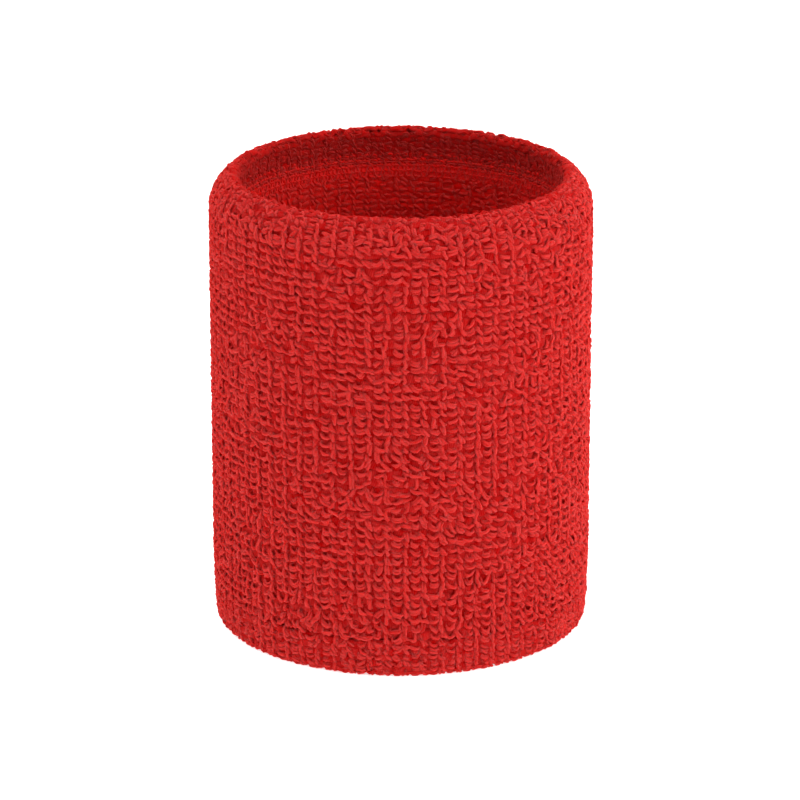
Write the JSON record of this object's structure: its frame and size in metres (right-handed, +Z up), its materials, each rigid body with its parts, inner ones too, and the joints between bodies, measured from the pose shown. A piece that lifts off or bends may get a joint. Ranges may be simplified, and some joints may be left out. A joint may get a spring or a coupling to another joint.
{
  "type": "sweat wristband",
  "caption": "Tubular double-walled terry knit wristband with folded rims and an overlocked inner seam, worn on the wrist to soak up sweat.",
  "frame": {"origin": "centre of the flat ring on which the bottom fold stands", "axes": "+Z up along the axis of the band, towards the rim beside the seam; the band is round, so +X and +Y are any two directions square to it"},
  "size_m": [0.0624, 0.0624, 0.076],
  "materials": {
    "outer_terry": "matt red cotton loops",
    "inner_terry": "matt red cotton loops, pressed flat",
    "fold_terry": "matt red cotton loops, fanned over the fold",
    "ground_knit": "plain red knit",
    "elastic_yarn": "covered elastic yarn, natural white",
    "sewing_thread": "spun red sewing thread"
  },
  "bodies": {
    "root": {"ground_knit_tube": "ground_knit", "outer_terry_pile": "outer_terry", "inner_terry_pile": "inner_terry", "top_fold_terry_pile": "fold_terry", "bottom_fold_terry_pile": "fold_terry", "outer_wall_elastic_yarn": "elastic_yarn", "inner_wall_elastic_yarn": "elastic_yarn", "seam_needle_thread": "sewing_thread", "seam_upper_looper_thread": "sewing_thread", "seam_lower_looper_thread": "sewing_thread"}
  },
  "joints": []
}
